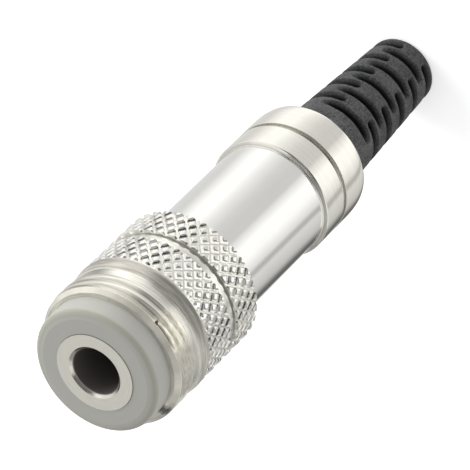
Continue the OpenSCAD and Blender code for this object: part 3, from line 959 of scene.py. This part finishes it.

# %% The pale patch, the shaded cut and the shadow fleck
# Levels and radii in millimetres, edges as cosines of the turn
PALE_EDGE = 0.965, 1.005
PALE_RAGGED = 0.04
PALE_LEVELS = thread_low / MM, nose_front / MM - 0.2
PALE_SOFT = 0.05
PALE_RADII = NOSE_R / MM - 0.12, NOSE_R / MM - 0.07
CUT_LEVELS = nose_front / MM - 0.6, nose_front / MM - 0.27
CUT_SOFT = 0.02
CUT_RADII = NOSE_R / MM - 0.13, NOSE_R / MM - 0.08
FLECK_EDGE = 0.998, 1.007
FLECK_RAGGED = 0.012
FLECK_LEVELS = chamfer_level / MM, chamfer_level / MM + 0.15
pale_side = toward(18, 0)
fleck_side = toward(88, 0)
near_pale = facing(place, pale_side) + PALE_RAGGED * noise(place, 3.0, detail=4.0)
pale = between(near_pale, *PALE_EDGE) * window(level, *PALE_LEVELS, PALE_SOFT)
pale = pale * between(away, *PALE_RADII)
# Painted shade: the thin cut is dark.
shaded_cut = window(level, *CUT_LEVELS, CUT_SOFT) * (1 - between(away, *CUT_RADII))
# A painted shadow: a dark fleck on the chamfer where it meets the collar.
near_fleck = facing(place, fleck_side) + FLECK_RAGGED * noise(place, 6.0, detail=4.0)
fleck = between(near_fleck, *FLECK_EDGE) * between(level, *FLECK_LEVELS)
print("patch, cut and fleck marked")

# %% Skin of the nose, with the wear and the painted shade mixed over its plate
GROOVE_SHADE = (0.70, 0.675, 0.60, 1)
FLAT_TINTS = (0.42, 0.40, 0.34, 1), (0.60, 0.575, 0.50, 1)
PALE_TINTS = (0.68, 0.645, 0.53, 1), (0.97, 0.93, 0.79, 1)
CUT_SHADE = (0.24, 0.22, 0.17, 1)
FLECK_SHADOW = (0.08, 0.078, 0.07, 1)
FLAT_SHARE = 0.85
FLAT_MATTE = 0.6
PALE_MATTE = 0.45
scuffs = between(tool_marks(place, across=7.0, around=12.0), 0.35, 0.65)
colour = mix_colour(valley_shade, plated, GROOVE_SHADE)
colour = mix_colour(FLAT_SHARE * flat, colour, mix_colour(scuffs, *FLAT_TINTS))
colour = mix_colour(pale, colour, mix_colour(scuffs, *PALE_TINTS))
# The thin cut is painted dark as shade.
colour = mix_colour(shaded_cut, colour, CUT_SHADE)
# The fleck is a painted shadow in the corner by the collar.
feed(shader.inputs["Base Color"], mix_colour(fleck, colour, FLECK_SHADOW))
feed(shader.inputs["Metallic"], metal - PALE_MATTE * pale - FLAT_MATTE * flat * (1 - pale))
skin("threaded_nose", nose_rings, nose_nickel, "nose_body", "nickel_polished")


# %% [markdown]
# ## The screw-on shell
#
# The shell is one turned tube: a knurled grip, a smooth polished barrel, a step up to two bands with a
# groove between them, and a tail that rounds in to the bend relief. Its edges are broken with small
# fillets, because a real edge always shows a thin bright line. A Bevel modifier could break them too,
# but it would also round off the knurl.

# %% Levels and radii of the shell
BARREL_R = 4.425 * MM
BAND_R = 4.735 * MM
GROOVE_R = 4.485 * MM
TAIL_R = 4.435 * MM
KNURL_CORE = 5.27 * MM
SHELL_BORE = 3.95 * MM
SCREW_BORE = 4.47 * MM
EXIT_R = 3.45 * MM
TAIL_LEN = 1.55 * MM
REAR_BAND_LEN = 1.4 * MM
GROOVE_LEN = 0.4 * MM
FRONT_BAND_LEN = 2.4 * MM
BARREL_LEN = 11.2 * MM
FLOOR_GAP = 0.08 * MM
END_WALL = 1.25 * MM
tail_level = shell_exit + TAIL_LEN
groove_low = tail_level + REAR_BAND_LEN
groove_high = groove_low + GROOVE_LEN
step_level = groove_high + FRONT_BAND_LEN
grip_low = step_level + BARREL_LEN
shell_floor = screw_end - FLOOR_GAP
end_wall = shell_exit + END_WALL
print(f"grip from {grip_low / MM:.2f} to {shell_front / MM:.2f} mm")

# %% Rings of the shell
TAIL_STEPS = 10
STEP_TAPER = 0.12 * MM
BAND_FILLET = 0.05 * MM
GROOVE_FILLET = 0.06 * MM
STEP_FILLET = 0.08 * MM
shell_rings = [ring(EXIT_R, shell_exit)]
shell_rings += round_end(BAND_R, BAND_R - TAIL_R, shell_exit, tail_level, TAIL_STEPS)
shell_rings += rounded([
    (BAND_R, tail_level, 0),
    (BAND_R, groove_low, BAND_FILLET),
    (GROOVE_R, groove_low, GROOVE_FILLET),
    (GROOVE_R, groove_high, GROOVE_FILLET),
    (BAND_R, groove_high, BAND_FILLET),
    (BAND_R, step_level - STEP_TAPER, STEP_FILLET),
    (BARREL_R, step_level, STEP_FILLET),
    (BARREL_R, grip_low, 0),
    (KNURL_CORE, grip_low, 0),
])[1:]
shell_rings += knurl_rings(grip_low, shell_front)
shell_rings += rounded([
    (KNURL_CORE, shell_front, 0),
    (SCREW_BORE, shell_front, GROOVE_FILLET),
    (SCREW_BORE, shell_floor, 0),
    (SHELL_BORE, shell_floor, 0),
    (SHELL_BORE, end_wall, 0),
    (EXIT_R, end_wall, 0),
])
print(len(shell_rings), "rings in the shell")

# %% Skin of the shell
NICKEL_LIGHT = (0.925, 0.925, 0.915)
NICKEL_DULL = (0.865, 0.86, 0.84)
shell_nickel = nickel(
    "shell_nickel", NICKEL_LIGHT, NICKEL_DULL, 0.05, knurl=(grip_low / MM, shell_front / MM),
    # Dirt and painted shade in the groove, at the step and in the parting gap at the front.
    soil_and_shade=[
        (groove_low / MM - 0.02, groove_high / MM + 0.02, 0.0),
        (step_level / MM - 0.05, step_level / MM + 0.02, 0.1),
        (shell_front / MM - 0.02, shell_front / MM + 0.2, 0.5),
    ],
    turned_bands=[
        Turned(shell_exit, step_level, (0.885, 0.868, 0.81), 0.5, 0.025, 0.02, 0.0),
        Turned(grip_low, shell_front, (0.945, 0.93, 0.885), 0.0, 0.02, 0.0, 0.0),
    ],
)
skin("screw_on_shell", shell_rings, shell_nickel, "rear_shell", "nickel_polished")


# %% [markdown]
# ## The bend relief
#
# The rubber sleeve is cut by staggered slots so that it bends evenly. Slots at the front and back have
# ends that taper off, and those at the sides end bluntly between them, which leaves a woven look. Each
# slot is a soft hollow in the radius: a distance from the slot's middle line gives its depth, with
# rounded lips as rubber has. Cutting the slots with a Boolean modifier would leave sharp lips. The
# rubber is nearly black and matte, with pale specks that are strongest near the shell, where it is
# handled, and it is painted blacker down in the slots, as shade.

# %% Slots as hollows in the radius
BOOT_ROOT = 3.4 * MM
BOOT_END = 2.65 * MM
BOOT_EDGE = 0.25 * MM
SLOT_FLOOR = 1.9 * MM
SLOT_W = 0.62 * MM
SLOT_LIP = 0.28 * MM
SLOT_PITCH = 2.2 * MM
SLOT_FIRST = 0.85 * MM
SLOT_LEVELS = 5
# Half the arc of a slot, and the turn over which its ends taper, in radians
SIDE_SLOT = 1.22, 0.16
FRONT_SLOT = 0.84, 0.52
# A slot deepens this many times as fast as its ends taper
FULL_DEPTH = 1.5


def off_centre(centre):
    """Turn from a direction, from 0 to pi."""
    return np.abs((angles - centre + np.pi) % (2 * np.pi) - np.pi)


def slot_depth(level, middle_level, centre, half_arc, taper):
    """Share of the slot's full depth on a ring: its ends taper over a turn, and its lips are soft."""
    room = np.clip((half_arc - off_centre(centre)) / taper, 0, 1)
    width = SLOT_W / 2 * np.sqrt(1 - (1 - room) ** 2)
    lips = smooth_step((width + SLOT_LIP / 2 - abs(level - middle_level)) / SLOT_LIP)
    return lips * smooth_step(room * FULL_DEPTH)


def boot_radius(level):
    """Outer radius of the sleeve on a ring, slots included."""
    along = np.clip((level - BOOT_EDGE) / (shell_exit - BOOT_EDGE), 0, 1)
    outer = BOOT_END + (BOOT_ROOT - BOOT_END) * along
    depth = np.zeros(SIDES)
    for number in range(SLOT_LEVELS):
        side_level = SLOT_FIRST + number * SLOT_PITCH
        for half_turn in (0, np.pi):
            depth = np.maximum(depth, slot_depth(level, side_level, half_turn, *SIDE_SLOT))
            front = half_turn + np.pi / 2
            front_level = side_level + SLOT_PITCH / 2
            depth = np.maximum(depth, slot_depth(level, front_level, front, *FRONT_SLOT))
    return outer - (outer - SLOT_FLOOR) * depth


print(SLOT_LEVELS, "levels of slots on each side")


# %% Rubber
RUBBER_TINTS = (0.035, 0.035, 0.036, 1), (0.14, 0.14, 0.144, 1)
SLOT_SHADE = (0.006, 0.006, 0.0065, 1)
SLOT_SHADE_DROP = 0.05, 0.5
HANDLED_LEVELS = 8.0, 13.5
rubber, wire, shader = start_finish("black_rubber")
place = place_mm(wire)
level = split(place)[2]
grain = noise(place, 6.5, detail=5.0, roughness=0.7)
cloud = noise(place, 0.8, detail=3.0)
outer_mm = BOOT_END / MM + (BOOT_ROOT - BOOT_END) / shell_exit * level
# Painted shade: the rubber goes blacker the deeper a point lies in a slot.
slot_shade = between(outer_mm - radius_of(place), *SLOT_SHADE_DROP)
speck = between(0.75 * grain + 0.25 * cloud, 0.36, 0.66)
speck = speck * (0.7 + 0.3 * between(level, *HANDLED_LEVELS))
dusty = mix_colour(speck, *RUBBER_TINTS)
feed(shader.inputs["Base Color"], mix_colour(slot_shade, dusty, SLOT_SHADE))
feed(shader.inputs["Roughness"], 0.6 + 0.2 * grain)
feed(shader.inputs["Specular IOR Level"], 0.2)
feed(shader.inputs["Normal"], bump(grain, 0.05))
print("rubber ready")

# %% Skin of the bend relief
CABLE_R = 1.6 * MM
FLANGE_R = 3.85 * MM
FLANGE_GAP = 0.02 * MM
EDGE_STEPS = 5
SLEEVE_RINGS = 190
NECK = 0.3 * MM
boot_top = top("bend_relief")
flange_low = end_wall + FLANGE_GAP
boot_rings = [ring(CABLE_R, 0)]
boot_rings += round_end(BOOT_END, BOOT_EDGE, 0, BOOT_EDGE, EDGE_STEPS)
for level in np.linspace(BOOT_EDGE, shell_exit - NECK, SLEEVE_RINGS)[1:]:
    boot_rings.append(ring(boot_radius(level), level))
boot_rings += rounded([
    (BOOT_ROOT, shell_exit, 0),
    (BOOT_ROOT, flange_low, 0),
    (FLANGE_R, flange_low, 0),
    (FLANGE_R, boot_top, 0),
    (CABLE_R, boot_top, 0),
])
skin("slotted_bend_relief", boot_rings, rubber, "bend_relief", "black_rubber")


# %% [markdown]
# ## The pieces that keep their solids
#
# The bush, the collar and everything inside are plain turned, moulded or bent pieces. Their solids are
# already right, so they only change their material. Two of them have more: the bore of the bush is
# darker and duller, and the collar has a line of painted reflection on its rounded edge. Each is mixed
# over a ready finish by its radius or its level, which is less work than a finish of its own.

# %% Bush with a dark bore
BORE_R = 1.8 * MM
BORE_FADE = BORE_R / MM + 0.02, BORE_R / MM + 0.1
BORE_DARK = (0.11, 0.096, 0.09, 1)
bush_nickel = turned_nickel.copy()
bush_nickel.name = "bush_nickel"
shader, bare = finish_of(bush_nickel)
# The bore is made darker, duller and less like metal than the face of the bush.
inside = 1 - between(radius_of(place_mm(bare)), *BORE_FADE)
feed(shader.inputs["Base Color"], mix_colour(inside, bare, BORE_DARK))
feed(shader.inputs["Metallic"], 1 - 0.9 * inside)
feed(shader.inputs["Roughness"], 0.2 + 0.35 * inside)
print("bush bore darkened")

# %% Collar with a painted reflection line on its rounded edge
EDGE_REFLECTION_DROP = 0.06, 0.30
EDGE_REFLECTION_SOFT = 0.05
EDGE_REFLECTION_TINT = (0.36, 0.36, 0.30, 1)
shader, clean = finish_of(grey_plastic)
drop = top("front_insulator") / MM - split(place_mm(clean))[2]
edge_reflection = window(drop, *EDGE_REFLECTION_DROP, EDGE_REFLECTION_SOFT)
# The darker olive line on the rounded edge is a painted reflection.
feed(shader.inputs["Base Color"], mix_colour(edge_reflection, clean, EDGE_REFLECTION_TINT))
print("collar edge soiled")

# %% Finishes of the other pieces
FINISHES = {
    "sleeve_bush": bush_nickel,
    "front_insulator": grey_plastic,
    "contact_carrier": dark_plastic,
    "sleeve_strap": tinned_strip,
    "tip_contact": spring_bronze,
    "ring_contact": spring_bronze,
    "tip_tag": tinned_strip,
    "ring_tag": tinned_strip,
    "tip_rivet": turned_nickel,
    "ring_rivet": turned_nickel,
    "lock_ring": turned_nickel,
    "insulating_liner": milky_plastic,
}
for node, material in FINISHES.items():
    solid = frame["nodes"][node]
    solid.data.shade_smooth()
    solid.data.set_sharp_from_angle(angle=SHARP)
    solid.data.materials.clear()
    solid.data.materials.append(material)
print(len(FINISHES), "solids have a finish")
